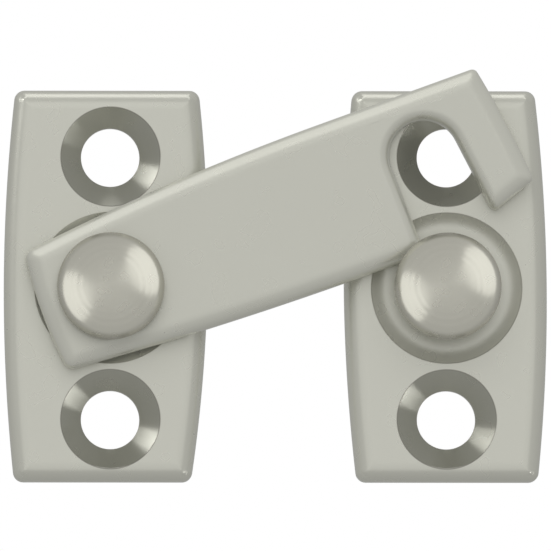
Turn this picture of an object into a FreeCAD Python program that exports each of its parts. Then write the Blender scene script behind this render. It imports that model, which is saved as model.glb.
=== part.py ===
import FreeCAD, Part
import math
import os

import Sketcher
from FreeCAD import Placement, Rotation, Vector

# A bar latch for a pair of casement sashes. A flat bar turns on a post in the pivot plate, and the
# hook at its other end drops over a narrower post in the keeper plate. A domed knob caps each post.
#
# Frame: +X from the pivot to the keeper, +Z up, and the front of the latch faces -Y. The origin is on
# the pivot's axis, in the plane of the plates' backs. Each piece is drawn lying on its own XY plane
# with its front towards +Z, and its Placement stands it up.

# Driving dimensions in millimetres and degrees: (alias, value, meaning)
DIMENSIONS = [
    ("plate_thickness", 3.2, "thickness of both plates"),
    ("plate_height", 37.9, "height of both plates"),
    ("plate_rise", 0.23, "how far a plate's middle is above the middle of its two holes"),
    ("plate_edge_round", 1.9, "rounding of a plate's front rim"),
    ("plate_corner_round", 1.0, "rounding of a plate's corners, seen from the front"),
    ("plate_back_chamfer", 0.25, "broken edge round a plate's back"),
    ("side_bow", 1.05, "how far a plate's outer side bows out"),
    ("pivot_outer_reach", 10.29, "pivot plate, from the post out to the outer side's middle"),
    ("pivot_outer_lean", 0.05, "pivot plate, how far the outer side's ends lean out at the bottom"),
    ("pivot_inner_reach", 9.42, "pivot plate, from the post in to the inner side's middle"),
    ("pivot_inner_top", 8.55, "pivot plate, from the post in to the top corner"),
    ("pivot_inner_bottom", 7.81, "pivot plate, from the post in to the bottom corner"),
    ("keeper_outer_reach", 9.75, "keeper plate, from the post out to the outer side's middle"),
    ("keeper_outer_lean", 0.16, "keeper plate, how far the outer side's ends lean out at the bottom"),
    ("keeper_inner_reach", 9.88, "keeper plate, from the post in to the inner side's middle"),
    ("keeper_inner_top", 9.05, "keeper plate, from the post in to the top corner"),
    ("keeper_inner_bottom", 8.65, "keeper plate, from the post in to the bottom corner"),
    ("hole_spacing", 25.4, "between the two screw holes of a plate"),
    ("hole_diameter", 5.66, "screw hole"),
    ("hole_mouth", 9.6, "countersink's mouth"),
    ("countersink_angle", 90, "countersink's full angle"),
    ("dish_radius", 7.3, "dish round a post, at the plate's face"),
    ("dish_floor_radius", 5.85, "flat floor of the dish"),
    ("dish_depth", 0.4, "depth of the dish"),
    ("seat_radius", 4.75, "washers' seat in the dish's floor"),
    ("seat_depth", 0.2, "depth of that seat below the dish's floor"),
    ("socket_radius", 1.92, "socket that a post stands in"),
    ("socket_depth", 0.8, "depth of that socket below the seat"),
    ("post_spacing", 32.5, "from the pivot's axis to the keeper's"),
    ("foot_radius", 1.9, "foot of the pivot post, and the whole keeper post"),
    ("journal_radius", 2.5, "part of the pivot post that the bar turns on"),
    ("post_bore", 1.32, "hole through a post"),
    ("post_height", 3.9, "from the seat to the knob"),
    ("bar_thickness", 2.6, "thickness of the bar"),
    ("bar_gap", 0.3, "from the plates' faces to the bar's back"),
    ("bar_hole_radius", 2.55, "bar's pivot hole"),
    ("bar_edge_round", 1.3, "rounding of the bar's front rim"),
    ("bar_back_chamfer", 0.2, "broken edge round the bar's back"),
    ("rest_angle", 20, "how far the bar is raised above level"),
    ("heel_reach", 6.65, "bar, from the pivot back to the heel's corners"),
    ("heel_bow", 0.42, "how far the heel bows out"),
    ("heel_top", 5.94, "bar's top edge at the heel"),
    ("heel_bottom", 6.16, "bar's bottom edge at the heel"),
    ("bar_top", 7.89, "bar's straight top edge"),
    ("bar_bottom", 7.37, "bar's bottom edge at the slot"),
    ("bow_end", 24, "where the bowed long edges end"),
    ("bar_reach", 40.3, "from the pivot to the bar's top corner"),
    ("nose_bow", 0.2, "how far the bar's end bows out"),
    ("toe_outer_reach", 41.95, "hook's lowest outer corner, along the bar"),
    ("toe_outer_drop", 4.2, "hook's lowest outer corner, below the pivot"),
    ("toe_inner_reach", 37.2, "hook's lowest inner corner, along the bar"),
    ("toe_inner_drop", 5.85, "hook's lowest inner corner, below the pivot"),
    ("slot_reach", 32.82, "centre of the slot's round end, along the bar"),
    ("slot_rise", 1.61, "centre of the slot's round end, above the pivot"),
    ("slot_radius", 3.38, "slot's round end"),
    ("lip_reach", 29.65, "slot's mouth, on the pivot's side"),
    ("lip_round", 1.3, "rounding of the slot's lip"),
    ("toe_round", 0.6, "rounding of the hook's and the nose's corners"),
    ("heel_round", 1.0, "rounding of the heel's corners"),
    ("knob_radius", 5.17, "knob at its widest"),
    ("knob_height", 3.35, "knob's full height"),
    ("knob_rim", 0.55, "from a knob's underside to the start of the dome"),
    ("knob_under_round", 0.3, "rounding under a knob's rim"),
    ("crown_radius", 8.5, "middle of a knob's dome"),
    ("thread_bore", 1.3, "threaded hole in a knob"),
    ("thread_depth", 2.1, "depth of that hole"),
    ("screw_radius", 1.25, "screw's shank"),
    ("screw_length", 7.9, "screw from head to tip"),
    ("screw_tip_chamfer", 0.3, "broken end of the screw"),
    ("screw_sink", 0.05, "how far a screw's head lies below the plate's back"),
    ("screw_head_radius", 2.45, "screw's head"),
    ("screw_hole", 2.7, "hole for the screw in a plate"),
    ("screw_hole_mouth", 5.1, "countersink's mouth in a plate's back"),
    ("recess_span", 2.6, "cross recess, from end to end"),
    ("recess_width", 0.6, "width of one arm of the recess"),
    ("recess_depth", 0.8, "depth of the recess"),
    ("washer_bore", 2.6, "hole in every washer"),
    ("flat_washer_thickness", 0.38, "both plastic washers"),
    ("back_washer_radius", 4.6, "washer behind the bar"),
    ("front_washer_radius", 4.3, "washer under the pivot knob"),
    ("wave_washer_radius", 4.5, "spring washer"),
    ("wave_thickness", 0.25, "spring washer's strip"),
    ("wave_height", 0.24, "from the lowest to the highest part of the spring washer's strip"),
    ("washer_clearance", 0.01, "between each washer and what is next to it"),
]
WAVES = 3  # waves round the spring washer
WAVE_POINTS = 48  # points that the spring washer's edges are drawn through
CORNER_TURN = 20  # faces that meet at more than this many degrees make a corner
UPRIGHT = 0.9  # an edge is upright where the Z part of its direction is more than this
SAME_HEIGHT = 1e-4  # millimetres

doc = FreeCAD.newDocument("sash_latch")
sheet = doc.addObject("Spreadsheet::Sheet", "Dimensions")
for row, (alias, value, meaning) in enumerate(DIMENSIONS, start=1):
    sheet.set(f"A{row}", meaning)
    sheet.set(f"B{row}", str(value))
    sheet.setAlias(f"B{row}", alias)
doc.recompute()

STANDING = Rotation(Vector(1, 0, 0), 90)


def size(expression):
    """The value of an expression in the sheet's aliases."""
    result = sheet.evalExpression(expression)
    return float(getattr(result, "Value", result))


def bound(expression):
    """The expression with each alias written as a reference to the sheet."""
    words = {alias for alias, _, _ in DIMENSIONS}
    parts, word = [], ""
    for character in expression + " ":
        if character.isalnum() or character == "_":
            word += character
            continue
        parts.append(f"Dimensions.{word}" if word in words else word)
        parts.append(character)
        word = ""
    return "".join(parts).strip()


class Drawing:
    """A sketch on one of a body's own origin planes, dimensioned from the sheet."""

    def __init__(self, body, name, plane="XY_Plane", height=None, reverse=False):
        self.sketch = body.newObject("Sketcher::SketchObject", name)
        origin = [o for o in body.Origin.OriginFeatures if o.Role == plane]
        self.sketch.AttachmentSupport = [(origin[0], "")]
        self.sketch.MapMode = "FlatFace"
        self.sketch.MapReversed = reverse
        if height:
            self.sketch.setExpression("AttachmentOffset.Base.z", bound(height))

    def line(self, start, end):
        (x, y), (u, v) = [(size(p), size(q)) for p, q in (start, end)]
        return self.sketch.addGeometry(Part.LineSegment(Vector(x, y), Vector(u, v)), False)

    def arc(self, start, through, end):
        """An arc through three points given as numbers."""
        curve = Part.Arc(*[Vector(x, y) for x, y in (start, through, end)])
        return self.sketch.addGeometry(curve, False)

    def circle(self, centre, radius):
        x, y = size(centre[0]), size(centre[1])
        disc = Part.Circle(Vector(x, y), Vector(0, 0, 1), size(radius))
        index = self.sketch.addGeometry(disc, False)
        self.place(index, 3, *centre)
        self.bind("Radius", size(radius), radius, index)
        return index

    def bind(self, kind, value, expression, *geometry):
        """A dimension that follows the sheet."""
        index = self.sketch.addConstraint(Sketcher.Constraint(kind, *geometry, value))
        self.sketch.setExpression(f"Constraints[{index}]", bound(expression))

    def rule(self, kind, *geometry):
        self.sketch.addConstraint(Sketcher.Constraint(kind, *geometry))

    def place(self, edge, end, x, y):
        """Fixes one end of an edge, or a centre (end 3), at x, y."""
        self._along("DistanceX", "Y", edge, end, x)
        self._along("DistanceY", "X", edge, end, y)

    def _along(self, kind, axis, edge, end, expression):
        value = size(expression)
        if value == 0:
            self.rule("PointOnObject", edge, end, -2 if axis == "Y" else -1)
        elif value > 0:
            self.bind(kind, value, expression, -1, 1, edge, end)
        else:
            self.bind(kind, -value, f"-({expression})", edge, end, -1, 1)

    def polygon(self, corners):
        """Straight edges round a list of corners."""
        edges = [self.line(a, b) for a, b in zip(corners, corners[1:] + corners[:1])]
        for i, edge in enumerate(edges):
            self.rule("Coincident", edge, 2, edges[(i + 1) % len(edges)], 1)
        for edge, corner in zip(edges, corners):
            self.place(edge, 1, *corner)
        return edges


def make_body(name):
    body = doc.addObject("PartDesign::Body", name)
    body.Label = name
    return body


def feature(body, kind, name, profile=None, **expressions):
    """A PartDesign feature with its sizes bound to the sheet."""
    made = body.newObject(f"PartDesign::{kind}", name)
    if profile is not None:
        made.Profile = (profile.sketch, [""])
    for prop, expression in expressions.items():
        made.setExpression(prop, bound(expression))
    return made


def turned(body, kind, name, profile):
    """A full turn of a profile round the body's own Z axis."""
    made = feature(body, kind, name, profile)
    made.ReferenceAxis = (profile.sketch, ["V_Axis"])
    made.Angle = 360
    doc.recompute()
    return made


def edges_where(shape, test):
    """Names of the edges whose every point passes the test."""
    names = []
    for i, edge in enumerate(shape.Edges, start=1):
        low, high = edge.ParameterRange
        points = [edge.valueAt(low + (high - low) * share) for share in (0.0, 0.5, 1.0)]
        if all(test(point) for point in points):
            names.append(f"Edge{i}")
    return names


def dress(body, kind, name, test, expression):
    """A fillet or chamfer on the edges of the body's last feature that pass the test."""
    base = body.Tip
    made = body.newObject(f"PartDesign::{kind}", name)
    made.Base = (base, edges_where(base.Shape, test))
    made.setExpression("Radius" if kind == "Fillet" else "Size", bound(expression))
    doc.recompute()
    return made


def round_upright(body, name, radius, where):
    """Rounds the upright edges of the slab that are real corners and pass the test."""
    base = body.Tip
    names = []
    for i, edge in enumerate(base.Shape.Edges, start=1):
        if abs(edge.tangentAt(edge.FirstParameter).z) < UPRIGHT:
            continue
        if where(edge.valueAt(edge.FirstParameter)) and is_corner(base.Shape, edge):
            names.append(f"Edge{i}")
    made = body.newObject("PartDesign::Fillet", name)
    made.Base = (base, names)
    made.setExpression("Radius", bound(radius))
    doc.recompute()
    return made


def is_corner(shape, edge):
    """Whether the two faces at an upright edge meet at a corner."""
    point = edge.valueAt(edge.FirstParameter)
    normals = []
    for face in shape.ancestorsOfType(edge, Part.Face):
        u, v = face.Surface.parameter(point)
        normals.append(face.normalAt(u, v))
    return math.degrees(normals[0].getAngle(normals[1])) > CORNER_TURN


def at_height(height):
    """A test for edge points that lie at that height."""
    return lambda point: abs(point.z - height) < SAME_HEIGHT


def anywhere(point):
    return True


def stand(obj, x=0.0, depth=0.0, turn=0.0):
    """Stands a piece up: its back goes to y = -depth, and its axis to x."""
    rotation = STANDING.multiply(Rotation(Vector(0, 0, 1), turn))
    obj.Placement = Placement(Vector(x, -depth, 0), rotation)


# ---- plates ----------------------------------------------------------------------------------


def bowed_side(drawing, start, end, bow):
    """An arc from start to end, up or down, that bows by the given expression to its right."""
    (x0, y0), (x1, y1) = [(size(p), size(q)) for p, q in (start, end)]
    half = Vector((x0 + x1) / 2, (y0 + y1) / 2)
    chord = Vector(x1 - x0, y1 - y0)
    middle = half + Vector(chord.y, -chord.x).normalize() * size(bow)
    side = drawing.arc((x0, y0), (middle.x, middle.y), (x1, y1))
    length = f"(({start[0]}) - ({end[0]}))^2 + (({start[1]}) - ({end[1]}))^2"
    radius = f"(({length}) / 4 + ({bow})^2) / (2 * ({bow}))"
    drawing.bind("Radius", size(radius), radius, side)
    return side


def plate_outline(body, side, prefix):
    """A plate's outline. side is 1 where the outer side is on the right, and -1 on the left."""
    drawing = Drawing(body, f"{prefix}_outline")
    top, bottom = "plate_height / 2 + plate_rise", "-(plate_height / 2) + plate_rise"
    outer_top = f"{side} * ({prefix}_outer_reach - side_bow - {prefix}_outer_lean)"
    outer_bottom = f"{side} * ({prefix}_outer_reach - side_bow + {prefix}_outer_lean)"
    inner_top = f"{-side} * {prefix}_inner_top"
    inner_bottom = f"{-side} * {prefix}_inner_bottom"
    inner_bow = f"{prefix}_inner_reach - ({prefix}_inner_top + {prefix}_inner_bottom) / 2"
    if side > 0:
        corners = [(outer_bottom, bottom), (outer_top, top), (inner_top, top), (inner_bottom, bottom)]
        bows = ["side_bow", inner_bow]
    else:
        corners = [(inner_bottom, bottom), (inner_top, top), (outer_top, top), (outer_bottom, bottom)]
        bows = [inner_bow, "side_bow"]
    right = bowed_side(drawing, corners[0], corners[1], bows[0])
    upper = drawing.line(corners[1], corners[2])
    left = bowed_side(drawing, corners[2], corners[3], bows[1])
    lower = drawing.line(corners[3], corners[0])
    drawing.rule("Coincident", right, 2, upper, 1)
    drawing.rule("Coincident", upper, 2, left, 1)
    drawing.rule("Coincident", left, 2, lower, 1)
    drawing.rule("Coincident", lower, 2, right, 1)
    for edge, corner in ((upper, corners[1]), (lower, corners[3])):
        drawing.place(edge, 1, *corner)
    drawing.place(upper, 2, *corners[2])
    drawing.place(lower, 2, *corners[0])
    return drawing


def make_plate(name, side, prefix):
    """A plate with a rounded front rim and two countersunk holes.

    In the middle it has a dish, the washers' seat in its floor, and the post's socket.

    side is as in plate_outline, and prefix is the first word of the plate's own dimensions.
    """
    body = make_body(name)
    outline = plate_outline(body, side, prefix)
    feature(body, "Pad", f"{name}_slab", outline, Length="plate_thickness")
    doc.recompute()
    face = at_height(size("plate_thickness"))
    round_upright(body, f"{name}_corners", "plate_corner_round", anywhere)
    dress(body, "Fillet", f"{name}_front_rim", face, "plate_edge_round")
    dress(body, "Chamfer", f"{name}_back_rim", at_height(0), "plate_back_chamfer")
    turned(body, "Groove", f"{name}_dish", dish_profile(body, name))

    depth = "dish_depth"
    for step in ("seat", "socket"):
        circle = Drawing(body, f"{name}_{step}_circle", height="plate_thickness")
        circle.circle(("0", "0"), f"{step}_radius")
        depth = f"{depth} + {step}_depth"
        feature(body, "Pocket", f"{name}_{step}", circle, Length=depth)
        doc.recompute()

    spots = Drawing(body, f"{name}_hole_centres", height="plate_thickness")
    spots.circle(("0", "hole_spacing / 2"), "hole_diameter / 2")
    spots.circle(("0", "-(hole_spacing / 2)"), "hole_diameter / 2")
    drill(body, f"{name}_screw_holes", spots, "hole_diameter", "hole_mouth")

    back = Drawing(body, f"{name}_back_centre", reverse=True)
    back.circle(("0", "0"), "screw_hole / 2")
    drill(body, f"{name}_back_hole", back, "screw_hole", "screw_hole_mouth")
    return body


def dish_profile(body, name):
    """Half of the dish's section: a flat floor, and a wall that leaves it smoothly."""
    dish = Drawing(body, f"{name}_dish_profile", "XZ_Plane")
    floor = "plate_thickness - dish_depth"
    run = "(dish_radius - dish_floor_radius)"
    wall_radius = f"({run}^2 + dish_depth^2) / (2 * dish_depth)"
    radius, inner = size(wall_radius), size("dish_floor_radius")
    lean = math.asin(size(run) / radius) / 2
    start = (inner, size(floor))
    through = (inner + radius * math.sin(lean), size(floor) + radius * (1 - math.cos(lean)))
    end = (size("dish_radius"), size("plate_thickness"))
    base = dish.line(("0", floor), ("dish_floor_radius", floor))
    wall = dish.arc(start, through, end)
    lid = dish.line(("dish_radius", "plate_thickness"), ("0", "plate_thickness"))
    axis = dish.line(("0", "plate_thickness"), ("0", floor))
    for first, second in ((base, wall), (wall, lid), (lid, axis), (axis, base)):
        dish.rule("Coincident", first, 2, second, 1)
    dish.place(base, 1, "0", floor)
    dish.place(base, 2, "dish_floor_radius", floor)
    dish.place(lid, 1, "dish_radius", "plate_thickness")
    dish.place(lid, 2, "0", "plate_thickness")
    dish.bind("Radius", radius, wall_radius, wall)
    return dish


def drill(body, name, centres, diameter, mouth):
    """Countersunk holes right through the body, at each circle of a sketch."""
    doc.recompute()
    hole = feature(body, "Hole", name, centres)
    hole.ThreadType = "None"
    hole.DepthType = "ThroughAll"
    hole.HoleCutType = "Countersink"
    hole.HoleCutCustomValues = True
    hole.setExpression("Diameter", bound(diameter))
    hole.setExpression("HoleCutDiameter", bound(mouth))
    hole.setExpression("HoleCutCountersinkAngle", bound("countersink_angle"))
    doc.recompute()
    return hole


# ---- bar -------------------------------------------------------------------------------------


def bar_outline(body):
    """The bar with its heel at the left, and the slot that opens downwards near its right end."""
    drawing = Drawing(body, "bar_outline")
    top_bow = "((bow_end + heel_reach)^2 + (bar_top - heel_top)^2) / (2 * (bar_top - heel_top))"
    bottom_bow = (
        "((bow_end + heel_reach)^2 + (bar_bottom - heel_bottom)^2)"
        " / (2 * (bar_bottom - heel_bottom))"
    )
    heel_top = ("-heel_reach", "heel_top")
    heel_bottom = ("-heel_reach", "-heel_bottom")
    nose = ("bar_reach", "bar_top")
    toe_outer = ("toe_outer_reach", "-toe_outer_drop")
    toe_inner = ("toe_inner_reach", "-toe_inner_drop")
    slot_left = ("slot_reach - slot_radius", "slot_rise")
    slot_right = ("slot_reach + slot_radius", "slot_rise")
    lip = ("lip_reach", "-bar_bottom")

    end = bowed_side(drawing, toe_outer, nose, "nose_bow")
    upper = drawing.line(nose, ("bow_end", "bar_top"))
    upper_bow = tangent_bow(drawing, "bar_top", "heel_top", top_bow, 1)
    heel = bowed_side(drawing, heel_top, heel_bottom, "heel_bow")
    lower_bow = tangent_bow(drawing, "bar_bottom", "heel_bottom", bottom_bow, -1)
    lower = drawing.line(("bow_end", "-bar_bottom"), lip)
    lip_wall = drawing.line(lip, slot_left)
    x, y, r = size("slot_reach"), size("slot_rise"), size("slot_radius")
    slot_end = drawing.arc((x + r, y), (x, y + r), (x - r, y))
    toe_wall = drawing.line(slot_right, toe_inner)
    toe = drawing.line(toe_inner, toe_outer)

    drawing.rule("Coincident", end, 2, upper, 1)
    drawing.rule("Tangent", upper, 2, upper_bow, 1)
    drawing.rule("Coincident", upper_bow, 2, heel, 1)
    drawing.rule("Coincident", heel, 2, lower_bow, 1)
    drawing.rule("Tangent", lower_bow, 2, lower, 1)
    drawing.rule("Coincident", lower, 2, lip_wall, 1)
    drawing.rule("Tangent", lip_wall, 2, slot_end, 2)
    drawing.rule("Tangent", slot_end, 1, toe_wall, 1)
    drawing.rule("Coincident", toe_wall, 2, toe, 1)
    drawing.rule("Coincident", toe, 2, end, 1)
    drawing.place(upper, 1, *nose)
    drawing.place(upper, 2, "bow_end", "bar_top")
    drawing.place(heel, 1, *heel_top)
    drawing.place(heel, 2, *heel_bottom)
    drawing.place(lower, 1, "bow_end", "-bar_bottom")
    drawing.place(lower, 2, *lip)
    drawing.place(toe, 1, *toe_inner)
    drawing.place(toe, 2, *toe_outer)
    drawing.place(slot_end, 3, "slot_reach", "slot_rise")
    drawing.bind("Radius", r, "slot_radius", slot_end)
    return drawing


def tangent_bow(drawing, straight, heel, radius, side):
    """The bowed part of a long edge, level where it meets the straight part at bow_end."""
    r, run = size(radius), size("bow_end + heel_reach")
    lean = math.asin(run / r) / 2
    start = (size("bow_end"), side * size(straight))
    end = (-size("heel_reach"), side * size(heel))
    middle = (start[0] - r * math.sin(lean), start[1] - side * r * (1 - math.cos(lean)))
    if side > 0:
        return drawing.arc(start, middle, end)
    return drawing.arc(end, middle, start)


def past_slot(point):
    return point.x > size("slot_reach")


def at_heel(point):
    return point.x < 0


def at_lip(point):
    return point.y < 0 and size("bow_end") < point.x < size("slot_reach")


def make_bar():
    """The bar, with its corners and rims rounded, and its pivot hole."""
    body = make_body("latch_bar")
    outline = bar_outline(body)
    feature(body, "Pad", "bar_slab", outline, Length="bar_thickness")
    doc.recompute()
    round_upright(body, "bar_corners", "toe_round", past_slot)
    round_upright(body, "bar_heel_corners", "heel_round", at_heel)
    round_upright(body, "bar_lip", "lip_round", at_lip)
    dress(body, "Fillet", "bar_front_rim", at_height(size("bar_thickness")), "bar_edge_round")
    dress(body, "Chamfer", "bar_back_rim", at_height(0), "bar_back_chamfer")
    hole = Drawing(body, "bar_hole_circle", height="bar_thickness")
    hole.circle(("0", "0"), "bar_hole_radius")
    feature(body, "Pocket", "bar_hole", hole, Length="bar_thickness")
    doc.recompute()
    return body


# ---- turned pieces ---------------------------------------------------------------------------


def make_knob(name):
    """A domed knob with a threaded hole in its flat underside."""
    body = make_body(name)
    drawing = Drawing(body, f"{name}_profile", "XZ_Plane")
    radius, height = size("knob_radius"), size("knob_height")
    rim, crown, under = size("knob_rim"), size("crown_radius"), size("knob_under_round")
    drop = height - rim
    shoulder = shoulder_radius(radius, drop, crown)
    centre = Vector(radius - shoulder, rim)
    top_centre = Vector(0, height - crown)
    outward = (centre - top_centre).normalize()
    meet = top_centre + outward * crown
    half_turn = math.atan2(outward.y, outward.x) / 2
    shoulder_middle = centre + Vector(math.cos(half_turn), math.sin(half_turn)) * shoulder
    crown_lean = math.atan2(outward.x, outward.y) / 2
    crown_middle = top_centre + Vector(math.sin(crown_lean), math.cos(crown_lean)) * crown
    corner = Vector(radius - under, under)
    under_middle = corner + Vector(1, -1).normalize() * under

    base = drawing.line(("thread_bore", "0"), ("knob_radius - knob_under_round", "0"))
    lower = drawing.arc((radius - under, 0), (under_middle.x, under_middle.y), (radius, under))
    side = drawing.line(("knob_radius", "knob_under_round"), ("knob_radius", "knob_rim"))
    bend = drawing.arc((radius, rim), (shoulder_middle.x, shoulder_middle.y), (meet.x, meet.y))
    dome = drawing.arc((meet.x, meet.y), (crown_middle.x, crown_middle.y), (0, height))
    axis = drawing.line(("0", "knob_height"), ("0", "thread_depth"))
    bottom = drawing.line(("0", "thread_depth"), ("thread_bore", "thread_depth"))
    bore = drawing.line(("thread_bore", "thread_depth"), ("thread_bore", "0"))
    drawing.rule("Tangent", base, 2, lower, 1)
    drawing.rule("Tangent", lower, 2, side, 1)
    drawing.rule("Tangent", side, 2, bend, 1)
    drawing.rule("Tangent", bend, 2, dome, 1)
    for first, second in ((dome, axis), (axis, bottom), (bottom, bore), (bore, base)):
        drawing.rule("Coincident", first, 2, second, 1)
    drawing.place(base, 1, "thread_bore", "0")
    drawing.rule("Horizontal", base)
    drawing.bind("Radius", under, "knob_under_round", lower)
    drawing.place(side, 2, "knob_radius", "knob_rim")
    drawing.rule("Vertical", side)
    drawing.place(dome, 2, "0", "knob_height")
    drawing.rule("PointOnObject", dome, 3, -2)
    drawing.bind("Radius", crown, "crown_radius", dome)
    drawing.place(axis, 2, "0", "thread_depth")
    drawing.place(bottom, 2, "thread_bore", "thread_depth")
    turned(body, "Revolution", f"{name}_turned", drawing)
    return body


def shoulder_radius(radius, drop, crown):
    """Radius of the arc that leaves the rim upright and runs into the crown smoothly."""
    return (radius**2 + drop**2 - 2 * crown * drop) / (2 * (radius - crown))


def make_pivot_post():
    """A sleeve with a narrow foot in the plate's socket and a wide journal for the bar."""
    body = make_body("pivot_post")
    drawing = Drawing(body, "pivot_post_profile", "XZ_Plane")
    drawing.polygon(
        [
            ("post_bore", "0"),
            ("foot_radius", "0"),
            ("foot_radius", "socket_depth"),
            ("journal_radius", "socket_depth"),
            ("journal_radius", "socket_depth + post_height"),
            ("post_bore", "socket_depth + post_height"),
        ]
    )
    turned(body, "Revolution", "pivot_post_turned", drawing)
    return body


def make_screw(name):
    """A countersunk screw with a cross recess, drawn head down."""
    body = make_body(name)
    drawing = Drawing(body, f"{name}_profile", "XZ_Plane")
    neck = "screw_head_radius - screw_radius"
    drawing.polygon(
        [
            ("0", "0"),
            ("screw_head_radius", "0"),
            ("screw_radius", neck),
            ("screw_radius", "screw_length - screw_tip_chamfer"),
            ("screw_radius - screw_tip_chamfer", "screw_length"),
            ("0", "screw_length"),
        ]
    )
    turned(body, "Revolution", f"{name}_turned", drawing)
    arm = Drawing(body, f"{name}_recess_arm", reverse=True)
    across, along = "recess_width / 2", "recess_span / 2"
    arm.polygon(
        [
            (f"-({along})", f"-({across})"),
            (along, f"-({across})"),
            (along, across),
            (f"-({along})", across),
        ]
    )
    cut = feature(body, "Pocket", f"{name}_recess", arm, Length="recess_depth")
    doc.recompute()
    cross = body.newObject("PartDesign::PolarPattern", f"{name}_recess_cross")
    cross.Originals = [cut]
    cross.Axis = (arm.sketch, ["N_Axis"])
    cross.Angle = 90
    cross.Occurrences = 2
    body.Tip = cross
    doc.recompute()
    return body


def cylinder(name, radius, length):
    made = doc.addObject("Part::Cylinder", name)
    made.setExpression("Radius", bound(radius))
    made.setExpression("Height", bound(length))
    return made


def make_ring(name, outer, inner, length):
    """A plain sleeve or flat washer."""
    ring = doc.addObject("Part::Cut", name)
    ring.Base = cylinder(f"{name}_outside", outer, length)
    ring.Tool = cylinder(f"{name}_hole", inner, length)
    ring.Label = name
    return ring


def make_wave_washer():
    """A flat ring bent into equal waves. Its edges are smooth closed curves, ruled together."""
    thickness = size("wave_thickness")

    def edge(radius, height):
        points = []
        for i in range(WAVE_POINTS):
            turn = 2 * math.pi * i / WAVE_POINTS
            lift = size("wave_height") / 2 * (1 + math.cos(WAVES * turn))
            points.append(Vector(radius * math.cos(turn), radius * math.sin(turn), height + lift))
        curve = Part.BSplineCurve()
        curve.interpolate(points, PeriodicFlag=True)
        return curve.toShape()

    inner, outer = size("washer_bore"), size("wave_washer_radius")
    loop = [edge(inner, 0), edge(outer, 0), edge(outer, thickness), edge(inner, thickness)]
    faces = [Part.makeRuledSurface(a, b) for a, b in zip(loop, loop[1:] + loop[:1])]
    solid = Part.makeSolid(Part.makeShell(faces))
    if solid.Volume < 0:
        solid.reverse()
    washer = doc.addObject("Part::Feature", "wave_washer")
    washer.Label = "wave_washer"
    washer.Shape = solid
    return washer


# ---- assembly --------------------------------------------------------------------------------

seat_floor = size("plate_thickness - dish_depth - seat_depth")
bar_back = size("plate_thickness + bar_gap")
knob_seat = seat_floor + size("post_height")
keeper = size("post_spacing")
socket_floor = seat_floor - size("socket_depth")
bar_front = bar_back + size("bar_thickness")
screw_head = size("screw_sink")
clearance = size("washer_clearance")

pieces = []


def add(obj, **place):
    """Stands a piece up in its place and puts it on the list of pieces to write."""
    stand(obj, **place)
    pieces.append(obj)


add(make_plate("pivot_plate", -1, "pivot"))
add(make_plate("keeper_plate", 1, "keeper"), x=keeper)
add(make_bar(), depth=bar_back, turn=size("rest_angle"))
add(make_knob("pivot_knob"), depth=knob_seat)
add(make_knob("keeper_knob"), x=keeper, depth=knob_seat)
add(make_pivot_post(), depth=socket_floor)
keeper_post = make_ring("keeper_post", "foot_radius", "post_bore", "socket_depth + post_height")
add(keeper_post, x=keeper, depth=socket_floor)
add(make_screw("pivot_screw"), depth=screw_head)
add(make_screw("keeper_screw"), x=keeper, depth=screw_head)
add(make_wave_washer(), depth=seat_floor + clearance)
back_washer = make_ring("back_washer", "back_washer_radius", "washer_bore", "flat_washer_thickness")
add(back_washer, depth=bar_back - size("flat_washer_thickness") - clearance)
front_washer = make_ring(
    "front_washer", "front_washer_radius", "washer_bore", "flat_washer_thickness"
)
add(front_washer, depth=bar_front + clearance)

doc.recompute()
for obj in doc.Objects:
    if "Invalid" in obj.State or "Error" in obj.State:
        raise RuntimeError(f"{obj.Name} failed: {obj.State}")
for piece in pieces:
    if piece.Shape.isNull() or not piece.Shape.isValid():
        raise RuntimeError(f"{piece.Label} has no valid shape")

os.makedirs("parts", exist_ok=True)
for piece in pieces:
    piece.Shape.exportStep(f"parts/{piece.Label}.step")
    box = piece.Shape.BoundBox
    spans = [f"{span:.2f}" for span in (box.XLength, box.YLength, box.ZLength)]
    print(piece.Label, f"{piece.Shape.Volume:.2f} mm3,", " x ".join(spans), "mm")
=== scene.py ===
import math

import bmesh
import bpy
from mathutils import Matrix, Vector
from mathutils.geometry import delaunay_2d_cdt, tessellate_polygon


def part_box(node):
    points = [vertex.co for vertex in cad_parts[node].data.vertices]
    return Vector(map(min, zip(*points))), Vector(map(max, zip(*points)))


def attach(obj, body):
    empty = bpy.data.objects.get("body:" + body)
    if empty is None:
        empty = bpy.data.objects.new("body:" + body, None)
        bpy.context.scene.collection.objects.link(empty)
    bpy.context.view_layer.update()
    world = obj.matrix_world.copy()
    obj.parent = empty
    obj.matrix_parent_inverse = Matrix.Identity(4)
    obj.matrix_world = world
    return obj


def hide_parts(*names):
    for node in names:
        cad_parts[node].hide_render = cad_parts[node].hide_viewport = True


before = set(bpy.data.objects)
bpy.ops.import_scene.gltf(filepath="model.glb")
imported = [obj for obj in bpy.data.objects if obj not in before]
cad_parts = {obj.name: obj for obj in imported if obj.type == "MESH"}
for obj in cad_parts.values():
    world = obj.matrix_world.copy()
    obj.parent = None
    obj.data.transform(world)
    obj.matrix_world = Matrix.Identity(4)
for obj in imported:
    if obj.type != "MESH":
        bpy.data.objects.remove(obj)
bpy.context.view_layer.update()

# A satin nickel bar latch on a white ground. The plates, the bar and the knobs are finer meshes of
# the CAD's own shapes. The posts, screws and washers are the CAD nodes with a finish.
#
# Each finer mesh is drawn in a plane, x to the right and z up, and depth is y. The front faces -Y.

MM = 0.001

# ---- sizes read from the frame ---------------------------------------------------------------

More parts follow.
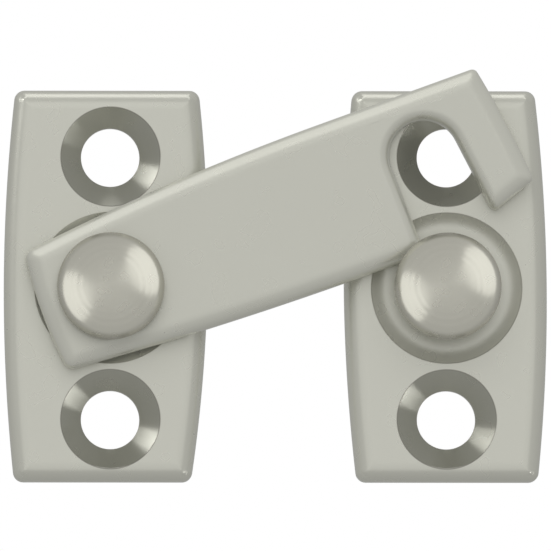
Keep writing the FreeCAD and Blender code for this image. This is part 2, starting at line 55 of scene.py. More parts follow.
post_low, post_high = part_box("keeper_post")
keeper_x = (post_low.x + post_high.x) / 2
plate_low, plate_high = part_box("pivot_plate")
plate_face = plate_low.y
plate_bottom, plate_top = plate_low.z, plate_high.z
bar_low, bar_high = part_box("latch_bar")
bar_front, bar_back = bar_low.y, bar_high.y
knob_low, knob_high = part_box("pivot_knob")
knob_radius = knob_high.z
knob_top, knob_seat = knob_low.y, knob_high.y

# ---- outlines --------------------------------------------------------------------------------


class Line:
    """A straight side. The material is on its left."""

    def __init__(self, start, end):
        self.start = Vector(start)
        self.along = (Vector(end) - self.start).normalized()
        self.inward = Vector((-self.along.y, self.along.x))

    def depth(self, point):
        """How far inside the side the point is."""
        return (Vector(point) - self.start).dot(self.inward)

    def inward_at(self, point):
        return self.inward

    def between(self, first, last, inset, count):
        return [first.lerp(last, i / count) for i in range(1, count)]


class Arc:
    """A round side. turn is 1 where the material is inside the circle, and -1 where it's outside."""

    def __init__(self, centre, radius, turn):
        self.centre, self.radius, self.turn = Vector(centre), radius, turn

    def depth(self, point):
        return self.turn * (self.radius - (Vector(point) - self.centre).length)

    def inward_at(self, point):
        return (self.centre - Vector(point)).normalized() * self.turn

    def between(self, first, last, inset, count):
        radius = self.radius - self.turn * inset
        begin, end = [math.atan2(*reversed(p - self.centre)) for p in (first, last)]
        sweep = (end - begin) * self.turn % (2 * math.pi) * self.turn
        angles = [begin + sweep * i / count for i in range(1, count)]
        return [self.centre + Vector((math.cos(a), math.sin(a))) * radius for a in angles]


def arc_radius(run, drop):
    """The radius of an arc that starts level and drops that much over the run."""
    return (run**2 + drop**2) / (2 * drop)


def bowed(start, end, bow):
    """The arc from start to end that stands out by bow on the right of that direction."""
    start, end = Vector(start), Vector(end)
    chord = end - start
    radius = arc_radius(chord.length / 2, bow)
    inward = Vector((-chord.y, chord.x)).normalized()
    return Arc((start + end) / 2 + inward * (radius - bow), radius, 1)


def tangent_foot(point, centre, radius, side):
    """Where a line from the point touches the circle, on the left (1) or right (-1) of the centre."""
    away = Vector(point) - Vector(centre)
    lean = math.acos(radius / away.length)
    angle = math.atan2(away.y, away.x) - side * lean
    return Vector(centre) + Vector((math.cos(angle), math.sin(angle))) * radius


class Outline:
    """A closed outline, anticlockwise, whose front edge is rounded to rim_depth.

    Each row is a side, its count of steps, its own full inset, its end and the rounding there. No
    rounding means that it runs into the next side smoothly.
    """

    CORNER_STEPS = 8
    CORNER_TRIES = 12
    INNER_ROUNDING = 0.25 * MM  # of each corner at the full inset

    def __init__(self, rows, rim_depth):
        self.sides, self.steps, self.reach, self.ends, self.roundings = zip(*rows)
        self.rim_depth = rim_depth

    def corner(self, index, insets, rounding):
        """The points of the joint between a side and the next one."""
        first = self.sides[index]
        second = self.sides[(index + 1) % len(self.sides)]
        near, far = insets[index], insets[(index + 1) % len(self.sides)]
        middle = Vector(self.ends[index])
        if rounding is None:
            return [middle + first.inward_at(middle) * near]
        for _ in range(self.CORNER_TRIES):
            a, b = first.inward_at(middle), second.inward_at(middle)
            miss_a = near + rounding - first.depth(middle)
            miss_b = far + rounding - second.depth(middle)
            area = a.x * b.y - a.y * b.x
            middle += Vector((miss_a * b.y - miss_b * a.y, miss_b * a.x - miss_a * b.x)) / area
        a, b = first.inward_at(middle), second.inward_at(middle)
        points = []
        for i in range(self.CORNER_STEPS + 1):
            share = i / self.CORNER_STEPS
            swing = a.angle_signed(b) * -share
            out = Vector((
                a.x * math.cos(swing) - a.y * math.sin(swing),
                a.x * math.sin(swing) + a.y * math.cos(swing),
            ))
            points.append(middle - out * rounding)
        return points

    def loop(self, share):
        """The outline moved inwards by a share of each side's full inset."""
        insets = [reach * share for reach in self.reach]
        corners = []
        for i, rounding in enumerate(self.roundings):
            if rounding is not None:
                rounding += (self.INNER_ROUNDING - rounding) * share
            corners.append(self.corner(i, insets, rounding))
        points = []
        for i, side in enumerate(self.sides):
            points.extend(side.between(corners[i - 1][-1], corners[i][0], insets[i], self.steps[i]))
            points.extend(corners[i])
        return points


def blend_loops(outer, inner, share):
    """The loop that lies a share of the way from the outer one to the inner one."""
    return [a.lerp(b, share) for a, b in zip(outer, inner)]


def circle(centre, radius, count=128):
    """The points of a circle, anticlockwise from the right."""
    x, z = centre
    turns = [2 * math.pi * i / count for i in range(count)]
    return [Vector((x + radius * math.cos(t), z + radius * math.sin(t))) for t in turns]


# ---- mesh building ---------------------------------------------------------------------------


class Shell:
    """A mesh made of bands between loops of points, with attributes for the finish.

    edge is painted shade on the rims of the screw holes, the dish and a knob, turned says how far the
    surface shows a lathe's marks (and in the plates' screw holes, painted shade), and across is the
    direction at right angles to them.
    """

    SHARP = math.radians(30)

    def __init__(self):
        self.mesh = bmesh.new()
        self.edge = self.mesh.verts.layers.float.new("edge")
        self.turned = self.mesh.verts.layers.float.new("turned")
        self.across = self.mesh.verts.layers.float_vector.new("across")

    def loop(self, points, depth, edge=0.0):
        """The points' vertices at a depth, edge being the painted shade they carry."""
        verts = []
        for point in points:
            vert = self.mesh.verts.new((point.x, depth, point.y))
            vert[self.edge] = edge
            verts.append(vert)
        return verts

    def mark(self, loops, centre, amount=1.0):
        """Lathe marks round the centre, by amount; on the satin finish the amount also darkens the
        surface as painted shade.
        """
        for vert in [vert for loop in loops for vert in loop]:
            out = Vector((vert.co.x - centre[0], vert.co.z - centre[1])).normalized()
            vert[self.turned] = amount
            vert[self.across] = (out.x, 0, out.y)

    def band(self, first, second):
        """A strip of faces between two loops with as many points."""
        count = len(first)
        for i in range(count):
            j = (i + 1) % count
            self.mesh.faces.new((first[i], first[j], second[j], second[i]))

    def bands(self, loops):
        for first, second in zip(loops, loops[1:]):
            self.band(first, second)

    def cap(self, outer, holes):
        """A flat face with holes in it."""
        loops = [outer, *holes]
        verts = [vert for loop in loops for vert in loop]
        for triangle in tessellate_polygon([[vert.co for vert in loop] for loop in loops]):
            self.mesh.faces.new([verts[i] for i in triangle])

    def skin(self, outer, holes, points, surface, inside):
        """A front face that follows the surface between its loops, by way of the points."""
        verts, edges = [], []
        for loop in (outer, *holes):
            first, count = len(verts), len(loop)
            verts.extend(loop)
            edges.extend((first + i, first + (i + 1) % count) for i in range(count))
        for point in points:
            verts.append(self.mesh.verts.new((point.x, surface(point), point.y)))
        flat = [vert.co.xz for vert in verts]
        places, _, triangles, origins, _, _ = delaunay_2d_cdt(flat, edges, [], 0, 1e-9)
        for triangle in triangles:
            middle = sum((places[i] for i in triangle), Vector((0, 0))) / 3
            if inside(middle):
                self.mesh.faces.new([verts[origins[i][0]] for i in triangle])

    def fan(self, loop, depth):
        """A cap with its tip on the axis."""
        tip = self.mesh.verts.new((0, depth, 0))
        for i, vert in enumerate(loop):
            self.mesh.faces.new((vert, loop[(i + 1) % len(loop)], tip))

    def finish(self, name, material, body, slot, *nodes):
        """The piece, smooth but for its sharp edges, riding on its body in place of the CAD nodes."""
        bmesh.ops.recalc_face_normals(self.mesh, faces=self.mesh.faces)
        for edge in self.mesh.edges:
            edge.smooth = edge.calc_face_angle(0) < self.SHARP
        for face in self.mesh.faces:
            face.smooth = True
        data = bpy.data.meshes.new(name)
        self.mesh.to_mesh(data)
        self.mesh.free()
        data.materials.append(material)
        piece = bpy.data.objects.new(name, data)
        bpy.context.scene.collection.objects.link(piece)
        even = piece.modifiers.new("even_normals", "WEIGHTED_NORMAL")
        even.keep_sharp = True
        even.weight = 100
        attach(piece, body)
        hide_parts(*nodes)
        return piece


RIM_STEPS = 18
MARGIN = 0.04 * MM  # flat strip between a flat face's feature and the rest of the face


def rim(shell, outline, front, back, chamfer, steps=RIM_STEPS + 1):
    """A slab's side: broken edge at the back, upright wall, rounded front rim.

    Gives the loops at the back face and at the front. The front one is past the rounding, or part
    of the way up it where there are fewer steps.
    """
    outer, inner = outline.loop(0), outline.loop(1)
    depth = outline.rim_depth
    broken = chamfer / max(outline.reach)
    step = MARGIN / max(outline.reach)
    loops = [
        shell.loop(outline.loop(broken + step), back),
        shell.loop(outline.loop(broken), back),
        shell.loop(outer, back - chamfer),
    ]
    for i in range(steps):
        turn = math.pi / 2 * i / RIM_STEPS
        points = blend_loops(outer, inner, 1 - math.cos(turn))
        loops.append(shell.loop(points, front + depth * (1 - math.sin(turn))))
    if steps > RIM_STEPS:
        loops.append(shell.loop(outline.loop(1 + step), front))
    shell.bands(loops)
    return loops[0], loops[-1]


def bore(shell, centre, profile, turned=0.0, surface=None):
    """Rings down a hole, from the front face to the back. profile is (radius, depth, edge), edge being
    the ring's painted shade.

    Gives the loops at its two ends, which lie in the faces. surface gives the front's own depth at
    a point, for a hole that runs into the rounded rim.
    """
    first, last = profile[0], profile[-1]
    profile = [(first[0] + MARGIN, first[1], 0.0), *profile, (last[0] + MARGIN, last[1], 0.0)]
    loops = [shell.loop(circle(centre, r), y, edge) for r, y, edge in profile]
    for vert in [vert for loop in loops for vert in loop if surface]:
        vert.co.y = max(vert.co.y, surface(vert.co.xz))
    shell.mark(loops[2:-3], centre, turned)
    shell.bands(loops)
    return loops[0], loops[-1]


# ---- finishes --------------------------------------------------------------------------------


def feed(tree, socket, value):
    """Links another node's output to the socket, or sets its value."""
    if isinstance(value, bpy.types.NodeSocket):
        tree.links.new(value, socket)
    else:
        socket.default_value = value


def add_node(tree, kind, **inputs):
    """A new node of a tree. Each input's name has _ for a space."""
    made = tree.nodes.new(kind)
    for name, value in inputs.items():
        feed(tree, made.inputs[name.replace("_", " ")], value)
    return made


class Finish:
    """A material with small helpers for its nodes."""

    def __init__(self, name):
        self.material = bpy.data.materials.new(name)
        self.material.use_nodes = True
        self.tree = self.material.node_tree
        self.shader = self.tree.nodes["Principled BSDF"]

    def node(self, kind, **inputs):
        return add_node(self.tree, kind, **inputs)

    def maths(self, operation, *values):
        made = self.node("ShaderNodeMath")
        made.operation = operation
        for socket, value in zip(made.inputs, values):
            feed(self.tree, socket, value)
        return made.outputs[0]

    def place(self):
        """Object coordinates, in metres."""
        return self.node("ShaderNodeTexCoord").outputs["Object"]

    def attribute(self, name):
        made = self.node("ShaderNodeAttribute")
        made.attribute_name = name
        return made

    def lathe(self, amount):
        """Highlights drawn out across the lathe's marks, on the parts of the mesh that have them."""
        across = self.node("ShaderNodeVectorTransform", Vector=self.attribute("across").outputs["Vector"])
        across.vector_type, across.convert_from, across.convert_to = "VECTOR", "OBJECT", "WORLD"
        turned = self.attribute("turned").outputs["Fac"]
        self.set(Tangent=across.outputs["Vector"], Anisotropic=self.maths("MULTIPLY", turned, amount))
        return turned

    def noise(self, scale, detail=2):
        made = self.node("ShaderNodeTexNoise", Vector=self.place(), Scale=scale, Detail=detail)
        return made.outputs["Fac"]

    def ramp(self, value, low, high, start=0.0, end=1.0):
        """The value's range from start to end stretched to low to high."""
        made = self.node(
            "ShaderNodeMapRange", Value=value, From_Min=start, From_Max=end, To_Min=low, To_Max=high
        )
        return made.outputs["Result"]

    def vary(self, scale, detail, low, high):
        """A noise whose middle, where most of its values lie, is stretched to low to high."""
        return self.ramp(self.noise(scale, detail), low, high, 0.3, 0.7)

    def mix(self, factor, first, second):
        """A colour between the two."""
        made = self.node("ShaderNodeMix")
        made.data_type = "RGBA"
        feed(self.tree, made.inputs["Factor"], factor)
        for name, colour in (("A", first), ("B", second)):
            socket = next(s for s in made.inputs if s.name == name and s.type == "RGBA")
            feed(self.tree, socket, colour if isinstance(colour, bpy.types.NodeSocket) else (*colour, 1))
        return next(s for s in made.outputs if s.type == "RGBA")

    def bump(self, height, distance, strength=1.0):
        made = self.node("ShaderNodeBump", Height=height, Distance=distance, Strength=strength)
        self.set(Normal=made.outputs["Normal"])

    def set(self, **inputs):
        """Feeds the shader's own inputs."""
        for name, value in inputs.items():
            feed(self.tree, self.shader.inputs[name.replace("_", " ")], value)


# painted shade on the turned walls of the screw holes
HOLE_WALL_PAINTED_SHADE = (0.52, 0.52, 0.46)
# painted shade at the rims of the screw holes and the dish
PAINTED_CREVICE_SHADE = (0.30, 0.29, 0.25)
# painted shade at the knobs' rims
KNOB_PAINTED_SHADE_COLOUR = (0.40, 0.39, 0.33)
RING_PITCH = 0.66 * MM
RING_PHASE = 1.2
RING_START, RING_FULL = 2.4 * MM, 3.4 * MM  # the radii between which the rings fade in
RING_HEIGHT = 0.0075 * MM
FINE_MARKS = 0.004  # height of the marks between the rings, as a share of the rings' own
ROUGHNESS_SPREAD = 0.06


def satin_nickel():
    """Cast and tumbled nickel under lacquer: a fine soft grain, with painted shade at the rims of the
    holes and the dish, and painted shade on the turned walls of the screw holes.
    """
    finish = Finish("satin_nickel")
    turned = finish.lathe(0.85)
    base = finish.mix(finish.noise(160, 3), (0.700, 0.700, 0.620), (0.715, 0.715, 0.633))
    # painted shade on the turned walls of the screw holes
    base = finish.mix(turned, base, HOLE_WALL_PAINTED_SHADE)
    # painted shade at the rims of the holes and the dish, by the edge attribute
    base = finish.mix(finish.attribute("edge").outputs["Fac"], base, PAINTED_CREVICE_SHADE)
    finish.bump(finish.noise(4500), distance=0.0004 * MM, strength=0.04)
    finish.set(
        Base_Color=base,
        Metallic=finish.ramp(turned, 0.5, 0.95),
        Roughness=finish.vary(400, 2, 0.27, 0.29),
    )
    return finish.material


def polished_nickel():
    """Nickel turned on a lathe: soft rings round the dome's outer part, very fine marks, and painted
    shade at the rim.
    """
    finish = Finish("polished_nickel")
    finish.lathe(0.6)
    flat = finish.node("ShaderNodeVectorMath", Vector=finish.place())
    flat.operation = "MULTIPLY"
    flat.inputs[1].default_value = (1, 0, 1)
    length = finish.node("ShaderNodeVectorMath", Vector=flat.outputs["Vector"])
    length.operation = "LENGTH"
    radius = length.outputs["Value"]
    turns = finish.maths("MULTIPLY", radius, 2 * math.pi / RING_PITCH)
    rings = finish.maths("SINE", finish.maths("ADD", turns, RING_PHASE))
    outside = finish.ramp(radius, 0, 1, RING_START, RING_FULL)
    fine = finish.maths("MULTIPLY", finish.noise(9000), FINE_MARKS)
    finish.bump(finish.maths("ADD", finish.maths("MULTIPLY", rings, outside), fine), RING_HEIGHT)
    base = finish.mix(finish.noise(160, 3), (0.63, 0.62, 0.54), (0.64, 0.63, 0.55))
    finish.set(
        # the rim's darker colour is painted shade
        Base_Color=finish.mix(finish.attribute("edge").outputs["Fac"], base, KNOB_PAINTED_SHADE_COLOUR),
        Metallic=0.6,
        Roughness=finish.vary(700, 4, 0.24, 0.28),
    )
    return finish.material


def plain_metal(name, low, high, roughness):
    """A metal for the hidden pieces, with a fine drawn grain."""
    finish = Finish(name)
    finish.bump(finish.noise(4000, 3), distance=0.0003 * MM, strength=0.6)
    finish.set(
        Base_Color=finish.mix(finish.noise(300, 4), low, high),
        Metallic=0.6,
        Roughness=finish.vary(900, 4, roughness - ROUGHNESS_SPREAD, roughness + ROUGHNESS_SPREAD),
    )
    return finish.material


def moulded_plastic(name, low, high):
    """A plastic for the washers, with the fine texture of its mould."""
    finish = Finish(name)
    finish.bump(finish.noise(6000, 3), distance=0.004 * MM, strength=0.6)
    finish.set(
        Base_Color=finish.mix(finish.noise(300, 4), low, high),
        Roughness=finish.vary(900, 4, 0.42, 0.55),
    )
    return finish.material


nickel = satin_nickel()
bright_nickel = polished_nickel()
brass = plain_metal("plated_brass", (0.62, 0.61, 0.53), (0.68, 0.67, 0.59), 0.30)
zinc = plain_metal("zinc_steel", (0.52, 0.53, 0.54), (0.62, 0.63, 0.64), 0.34)
spring = plain_metal("spring_steel", (0.42, 0.42, 0.43), (0.50, 0.50, 0.50), 0.28)
plastic = moulded_plastic("washer_plastic", (0.62, 0.61, 0.55), (0.68, 0.67, 0.62))

# ---- plates ----------------------------------------------------------------------------------

PLATE_RIM = 1.9 * MM
PLATE_CORNER = 1.0 * MM
PLATE_CHAMFER = 0.25 * MM
SIDE_BOW = 1.05 * MM
SIDE_STEPS = 60
END_STEPS = 40
OPEN_STEP = 10  # the rim's step from which the face's skin takes over
MOUTH_FLAT = 0.9996  # a little less than the middle of a mouth's side, as a share of its radius
HOLE_SPACING = 25.4 * MM
HOLE_RADIUS = 2.83 * MM
HOLE_MOUTH = 4.8 * MM
HOLE_LIP = 0.10 * MM
LIP_STEPS = 4
MOUTH_RINGS = (0.3, 0.6, 1, 1.4, 1.8)  # rings just inside the lip, in its own widths
# painted shade on the screw holes' lips
HOLE_LIP_PAINTED_SHADE = 0.7
HOLE_BACK = 0.15 * MM
DISH_RADIUS = 7.3 * MM
DISH_FLOOR = 5.85 * MM
DISH_DEPTH = 0.4 * MM
DISH_LIP = 0.05 * MM
DISH_STEPS = 10
# painted shade on the dish's rim
DISH_RIM_PAINTED_SHADE = 0.5
SEAT_RADIUS = 4.75 * MM
SEAT_DEPTH = 0.2 * MM
SOCKET_RADIUS = 1.92 * MM
SOCKET_DEPTH = 0.8 * MM
BACK_HOLE = 1.35 * MM
BACK_MOUTH = 2.55 * MM


def plate_outline(x, side, outer_reach, lean, inner_reach, inner_top, inner_bottom):
    """A plate's outline round x. side is 1 where the outer side is on the right.

    The reaches are as far as the sides bow. The outer side's bottom end leans out, and the inner
    side has its own top and bottom ends.
    """
    outer = outer_reach - SIDE_BOW
    inner_bow = inner_reach - (inner_top + inner_bottom) / 2
    corners = [(side * (outer + lean), plate_bottom), (side * (outer - lean), plate_top)]
    corners += [(-side * inner_top, plate_top), (-side * inner_bottom, plate_bottom)]
    bows = [SIDE_BOW, inner_bow]
    if side < 0:
        corners.reverse()
        bows.reverse()
    right_low, right_high, left_high, left_low = [Vector((x + cx, cz)) for cx, cz in corners]
    rows = [
        (bowed(right_low, right_high, bows[0]), SIDE_STEPS, PLATE_RIM, right_high, PLATE_CORNER),
        (Line(right_high, left_high), END_STEPS, PLATE_RIM, left_high, PLATE_CORNER),
        (bowed(left_high, left_low, bows[1]), SIDE_STEPS, PLATE_RIM, left_low, PLATE_CORNER),
        (Line(left_low, right_low), END_STEPS, PLATE_RIM, right_low, PLATE_CORNER),
    ]
    return Outline(rows, PLATE_RIM)


def countersink(shell, centre, surface):
    """A screw hole from the face to the back, with a small rounded lip and a 45 degree mouth.

    Its mouth runs into the plate's rounded rim a little.
    """
    sink = HOLE_MOUTH - HOLE_RADIUS
    profile = []
    for i in range(LIP_STEPS + 1):
        turn = math.pi / 4 * i / LIP_STEPS
        radius = HOLE_MOUTH + HOLE_LIP * (math.tan(math.pi / 8) - math.sin(turn))
        # the lip's rings carry painted shade
        profile.append((radius, plate_face + HOLE_LIP * (1 - math.cos(turn)), HOLE_LIP_PAINTED_SHADE))
    radius, depth, _ = profile[-1]
    profile += [(radius - HOLE_LIP * i, depth + HOLE_LIP * i, 0.0) for i in MOUTH_RINGS]
    profile += [(HOLE_RADIUS, plate_face + sink, 0.0), (HOLE_RADIUS, -HOLE_BACK, 0.0)]
    profile.append((HOLE_RADIUS + HOLE_BACK, 0.0, 0.0))
    # turned 1.0 gives the walls lathe marks and, on the satin finish, painted shade
    return bore(shell, centre, profile, 1.0, surface)


def dish(shell, centre):
    """The round dish, the washers' seat, the post's socket and the screw's hole behind it."""
    run = DISH_RADIUS - DISH_FLOOR
    radius = arc_radius(run, DISH_DEPTH)
    lean = math.asin(run / radius)
    profile = [(DISH_RADIUS + DISH_LIP, plate_face, 0.0)]
    # the rim's ring carries painted shade
    profile.append((DISH_RADIUS, plate_face + DISH_LIP / 4, DISH_RIM_PAINTED_SHADE))
    for i in range(1, DISH_STEPS + 1):
        turn = lean * (1 - i / DISH_STEPS)
        sunk = DISH_DEPTH - radius * (1 - math.cos(turn))
        profile.append((DISH_FLOOR + radius * math.sin(turn), plate_face + sunk, 0.0))
    floor = plate_face + DISH_DEPTH
    seat = floor + SEAT_DEPTH
    socket = seat + SOCKET_DEPTH
    profile += [(SEAT_RADIUS, floor, 0.0), (SEAT_RADIUS, seat, 0.0)]
    profile += [(SOCKET_RADIUS, seat, 0.0), (SOCKET_RADIUS, socket, 0.0)]
    profile += [(BACK_HOLE, socket, 0.0), (BACK_HOLE, BACK_HOLE - BACK_MOUTH, 0.0)]
    profile.append((BACK_MOUTH, 0.0, 0.0))
    return bore(shell, centre, profile)


def plate(name, x, body, **shape):
    """A plate with the shape that plate_outline takes.

    The rim's last steps and the flat face are one skin, because the screw holes cut into both.
    """
    outline = plate_outline(x, **shape)

    def surface(point):
        inset = min(PLATE_RIM, *(side.depth(point) for side in outline.sides))
        return plate_face + PLATE_RIM - math.sqrt(PLATE_RIM**2 - (PLATE_RIM - inset) ** 2)

    shell = Shell()
    back, front = rim(shell, outline, plate_face, 0.0, PLATE_CHAMFER, OPEN_STEP)
    centres = [Vector((x, z)) for z in (HOLE_SPACING / 2, -HOLE_SPACING / 2, 0.0)]
    ends = [countersink(shell, centre, surface) for centre in centres[:2]]
    ends.append(dish(shell, centres[2]))
    mouths = [(c, (end[0][0].co.xz - c).length) for c, end in zip(centres, ends)]

    def clear(point, margin=0.0):
        """True for a point outside the many-sided mouths of the holes and the dish."""
        return all((point - c).length > radius * MOUTH_FLAT + margin for c, radius in mouths)

    outer, inner = outline.loop(0), outline.loop(1)
    points = outline.loop(1 + MARGIN / PLATE_RIM)
    for i in range(OPEN_STEP, RIM_STEPS + 1):
        points += blend_loops(outer, inner, 1 - math.cos(math.pi / 2 * i / RIM_STEPS))
    points = [point for point in points if clear(point, MARGIN)]
    shell.skin(front, [end[0] for end in ends], points, surface, clear)
    shell.cap(back, [end[1] for end in ends])
    return shell.finish(f"{name}_fine", nickel, body, "satin_nickel", name)


plates = [
    plate(
        "pivot_plate", 0.0, "pivot_side", side=-1, outer_reach=10.29 * MM, lean=0.05 * MM,
        inner_reach=9.42 * MM, inner_top=8.55 * MM, inner_bottom=7.81 * MM,
    ),
    plate(
        "keeper_plate", keeper_x, "keeper_side", side=1, outer_reach=9.75 * MM, lean=0.16 * MM,
        inner_reach=9.88 * MM, inner_top=9.05 * MM, inner_bottom=8.65 * MM,
    ),
]

# ---- bar -------------------------------------------------------------------------------------

REST_ANGLE = math.radians(20)
BAR_RIM = 1.7 * MM
BAR_RIM_DEPTH = 1.3 * MM
SLOT_RIM = 1.1 * MM
BAR_CHAMFER = 0.2 * MM
HEEL = 6.65 * MM
HEEL_TOP = 5.94 * MM
HEEL_BOTTOM = 6.16 * MM
HEEL_BOW = 0.42 * MM
BAR_TOP = 7.89 * MM
BAR_BOTTOM = 7.37 * MM
BOW_END = 24 * MM
NOSE = Vector((40.3 * MM, BAR_TOP))
NOSE_BOW = 0.2 * MM
TOE_OUTER = Vector((41.95 * MM, -4.2 * MM))
TOE_INNER = Vector((37.2 * MM, -5.85 * MM))
SLOT = Vector((32.82 * MM, 1.61 * MM))
SLOT_RADIUS = 3.38 * MM
LIP = Vector((29.65 * MM, -BAR_BOTTOM))
BAR_HOLE = 2.55 * MM
HOLE_BREAK = 0.1 * MM
TOE_ROUND = 0.6 * MM
HEEL_ROUND = 1.0 * MM
LIP_ROUND = 1.3 * MM


def bar_outline():
    """The bar's outline, drawn level, from the hook's outer side round to its tip."""
    run = BOW_END + HEEL
    top_bow = arc_radius(run, BAR_TOP - HEEL_TOP)
    low_bow = arc_radius(run, BAR_BOTTOM - HEEL_BOTTOM)
    top_join, low_join = Vector((BOW_END, BAR_TOP)), Vector((BOW_END, -BAR_BOTTOM))
    heel_top, heel_low = Vector((-HEEL, HEEL_TOP)), Vector((-HEEL, -HEEL_BOTTOM))
    slot_left = tangent_foot(LIP, SLOT, SLOT_RADIUS, 1)
    slot_right = tangent_foot(TOE_INNER, SLOT, SLOT_RADIUS, -1)
    rows = [
        (bowed(TOE_OUTER, NOSE, NOSE_BOW), 14, BAR_RIM, NOSE, TOE_ROUND),
        (Line(NOSE, top_join), 14, BAR_RIM, top_join, None),
        (Arc((BOW_END, BAR_TOP - top_bow), top_bow, 1), 40, BAR_RIM, heel_top, HEEL_ROUND),
        (bowed(heel_top, heel_low, HEEL_BOW), 14, BAR_RIM, heel_low, HEEL_ROUND),
        (Arc((BOW_END, low_bow - BAR_BOTTOM), low_bow, 1), 40, BAR_RIM, low_join, None),
        (Line(low_join, LIP), 8, BAR_RIM, LIP, LIP_ROUND),
        (Line(LIP, slot_left), 10, SLOT_RIM, slot_left, None),
        (Arc(SLOT, SLOT_RADIUS, -1), 32, SLOT_RIM, slot_right, None),
        (Line(slot_right, TOE_INNER), 10, SLOT_RIM, TOE_INNER, TOE_ROUND),
        (Line(TOE_INNER, TOE_OUTER), 6, BAR_RIM, TOE_OUTER, TOE_ROUND),
    ]
    return Outline(rows, BAR_RIM_DEPTH)


def bar():
    """The bar, drawn level and then turned to its pose at rest."""
    shell = Shell()
    back, front = rim(shell, bar_outline(), bar_front, bar_back, BAR_CHAMFER)
    wide = BAR_HOLE + HOLE_BREAK
    profile = [(wide, bar_front, 0.0), (BAR_HOLE, bar_front + HOLE_BREAK, 0.0)]
    profile += [(BAR_HOLE, bar_back - HOLE_BREAK, 0.0), (wide, bar_back, 0.0)]
    hole_front, hole_back = bore(shell, (0, 0), profile)
    shell.cap(front, [hole_front])
    shell.cap(back, [hole_back])
    cosine, sine = math.cos(REST_ANGLE), math.sin(REST_ANGLE)
    for vert in shell.mesh.verts:
        x, z = vert.co.x, vert.co.z
        vert.co.x = x * cosine - z * sine
        vert.co.z = x * sine + z * cosine
    return shell.finish("latch_bar_fine", nickel, "latch", "satin_nickel", "latch_bar")


bars = [bar()]

# ---- knobs -----------------------------------------------------------------------------------

KNOB_RIM = 0.55 * MM
KNOB_UNDER = 0.3 * MM
CROWN_RADIUS = 8.5 * MM
CROWN_STEPS = 18
SHOULDER_STEPS = 14
UNDER_STEPS = 6
KNOB_RIM_PAINTED_SHADE = 0.7
PAINTED_SHADE_RIM = 0.6 * MM  # how wide the rim is that has painted shade
THREAD_BORE = 1.3 * MM
THREAD_DEPTH = 2.1 * MM


def knob(name, x, body):
    """The two-arc dome, its rim, the rounded under edge, the flat underside and the blind hole."""
    height = knob_seat - knob_top
    drop = height - KNOB_RIM
    shoulder = (knob_radius**2 + drop**2 - 2 * CROWN_RADIUS * drop) / (2 * (knob_radius - CROWN_RADIUS))
    across, up = knob_radius - shoulder, KNOB_RIM - (height - CROWN_RADIUS)
    lean = math.atan2(across, up)
    profile = []
    for i in range(1, CROWN_STEPS + 1):
        turn = lean * i / CROWN_STEPS
        profile.append((CROWN_RADIUS * math.sin(turn), height - CROWN_RADIUS * (1 - math.cos(turn))))
    for i in range(1, SHOULDER_STEPS + 1):
        turn = lean + (math.pi / 2 - lean) * i / SHOULDER_STEPS
        profile.append((across + shoulder * math.sin(turn), KNOB_RIM + shoulder * math.cos(turn)))
    for i in range(UNDER_STEPS + 1):
        turn = math.pi / 2 * i / UNDER_STEPS
        profile.append((
            knob_radius - KNOB_UNDER * (1 - math.cos(turn)), KNOB_UNDER * (1 - math.sin(turn))
        ))
    profile += [(THREAD_BORE, 0.0), (THREAD_BORE, THREAD_DEPTH)]
    shell = Shell()
    loops = []
    for radius, rise in profile:
        # painted shade darkening the outermost part of the rim
        shade = max(0.0, 1 - (knob_radius - radius) / PAINTED_SHADE_RIM) * KNOB_RIM_PAINTED_SHADE
        loops.append(shell.loop(circle((0, 0), radius), knob_seat - rise, shade))
    shell.mark(loops[:-2], (0, 0))
    shell.bands(loops)
    shell.fan(loops[0], knob_top)
    shell.fan(loops[-1], knob_seat - THREAD_DEPTH)
    piece = shell.finish(f"{name}_fine", bright_nickel, body, "polished_nickel", name)
    piece.location.x = x
    return piece


knobs = [knob("pivot_knob", 0.0, "pivot_side"), knob("keeper_knob", keeper_x, "keeper_side")]

# ---- CAD nodes that stay ---------------------------------------------------------------------

for node, material in (
    ("pivot_post", brass), ("keeper_post", brass), ("pivot_screw", zinc), ("keeper_screw", zinc),
    ("wave_washer", spring), ("back_washer", plastic), ("front_washer", plastic),
):
    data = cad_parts[node].data
    data.materials.clear()
    data.materials.append(material)

# ---- ground, light and camera ----------------------------------------------------------------

GROUND_DROP = 0.25
GROUND_RADIUS = 2.0


def ground():
    """A pale floor well below the latch."""
    finish = Finish("pale_floor")
    finish.set(
        Base_Color=finish.mix(finish.noise(6, 3), (0.86, 0.86, 0.86), (0.89, 0.89, 0.89)),
        Roughness=0.9,
    )
    disc = bmesh.new()
    around = circle((0, 0), GROUND_RADIUS, 64)
    disc.faces.new([disc.verts.new((point.x, point.y, -GROUND_DROP)) for point in around])
    data = bpy.data.meshes.new("ground")
    disc.to_mesh(data)
    disc.free()
    data.materials.append(finish.material)
    piece = bpy.data.objects.new("ground", data)
    bpy.context.scene.collection.objects.link(piece)
    piece.visible_glossy = piece.visible_diffuse = False
    return piece


floor = ground()

ROOM_LIGHT = 0.42
WHITE = (1, 1, 1, 1)


def studio():
    """A white ground to the camera, and a dim even room to the metal."""
    world = bpy.data.worlds.new("studio")
    bpy.context.scene.world = world
    world.use_nodes = True
    tree = world.node_tree
    tree.nodes.clear()
    dim = add_node(tree, "ShaderNodeBackground", Color=WHITE, Strength=ROOM_LIGHT)
    white = add_node(tree, "ShaderNodeBackground", Color=WHITE, Strength=1.0)
    to_camera = add_node(tree, "ShaderNodeLightPath").outputs["Is Camera Ray"]
    seen = add_node(tree, "ShaderNodeMixShader", Fac=to_camera)
    feed(tree, seen.inputs[1], dim.outputs["Background"])
    feed(tree, seen.inputs[2], white.outputs["Background"])
    add_node(tree, "ShaderNodeOutputWorld", Surface=seen.outputs["Shader"])


studio()


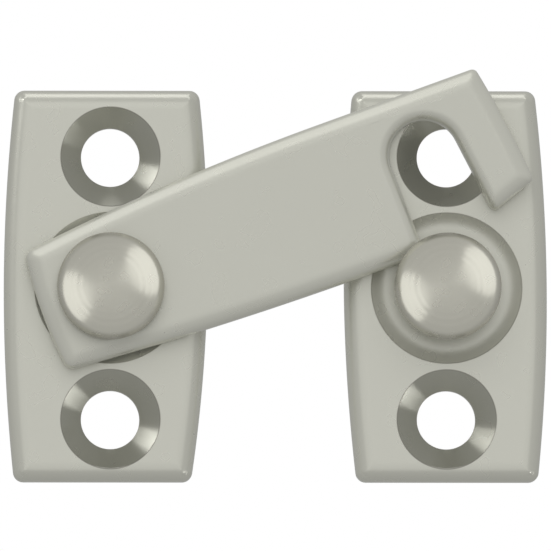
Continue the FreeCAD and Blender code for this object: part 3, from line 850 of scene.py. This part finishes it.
def lamp(name, azimuth, lean, spread, radiance, lit, glossy=True, diffuse=True):
    """A round soft light, far off, that lights only the pieces given.

    azimuth is the direction seen from the front, from the right and anticlockwise. lean is how far
    it is from straight in front, and spread how wide it looks from the latch, all in degrees.
    """
    light = bpy.data.lights.new(name, "SUN")
    light.angle = math.radians(spread)
    light.energy = radiance * math.pi * math.sin(light.angle / 2) ** 2
    made = bpy.data.objects.new(name, light)
    bpy.context.scene.collection.objects.link(made)
    turn, lean = math.radians(azimuth), math.radians(lean)
    toward = Vector((
        math.cos(turn) * math.sin(lean), -math.cos(lean), math.sin(turn) * math.sin(lean),
    ))
    made.rotation_mode = "QUATERNION"
    made.rotation_quaternion = toward.to_track_quat("Z", "Y")
    made.visible_glossy, made.visible_diffuse = glossy, diffuse
    group = bpy.data.collections.new(f"{name}_lit")
    for piece in lit:
        group.objects.link(piece)
    made.light_linking.receiver_collection = group


lamp("plate_key", 95, 33, 56, 1.66, plates, glossy=False)
lamp("plate_front", 0, 0, 96, 0.27, plates, diffuse=False)
lamp("plate_top", 90, 93, 28, 1.1, plates, diffuse=False)
lamp("plate_left", 150, 75, 30, 2.9, plates, diffuse=False)
lamp("plate_right", 332, 75, 30, 2.9, plates, diffuse=False)

lamp("bar_key", 90, 35, 50, 3.0, bars, glossy=False)
lamp("bar_front", 0, 0, 50, 0.12, bars, diffuse=False)
lamp("bar_top", 110, 66, 60, 0.5, bars, diffuse=False)

lamp("knob_fill", 0, 0, 60, 2.95, knobs, glossy=False)
lamp("knob_left", 195, 62, 66, 0.95, knobs, diffuse=False)
lamp("knob_right", 26, 62, 66, 0.95, knobs, diffuse=False)

lamp("floor", 90, 90, 60, 2.3, [floor])

CAMERA_LENS = 1000
CAMERA_RISE = math.radians(-3.0)
CAMERA_TURN = math.radians(-1.3)
VIEW_WIDTH = 53.24 * MM
AIM_X = 15.95 * MM
AIM_Z = 1.20 * MM


def camera():
    """A camera at the photo's angle, a little below and to the left of straight in front."""
    data = bpy.data.cameras.new("camera")
    data.lens = CAMERA_LENS
    eye = bpy.data.objects.new("camera", data)
    bpy.context.scene.collection.objects.link(eye)
    back = Vector((
        math.sin(CAMERA_TURN) * math.cos(CAMERA_RISE),
        -math.cos(CAMERA_TURN) * math.cos(CAMERA_RISE),
        math.sin(CAMERA_RISE),
    ))
    distance = VIEW_WIDTH * CAMERA_LENS / data.sensor_width
    eye.location = Vector((AIM_X, plate_face, AIM_Z)) + back * distance
    eye.rotation_mode = "QUATERNION"
    eye.rotation_quaternion = (-back).to_track_quat("-Z", "Y")
    data.clip_start, data.clip_end = 0.1, 10
    bpy.context.scene.camera = eye


camera()
bpy.context.scene.view_settings.view_transform = "Standard"
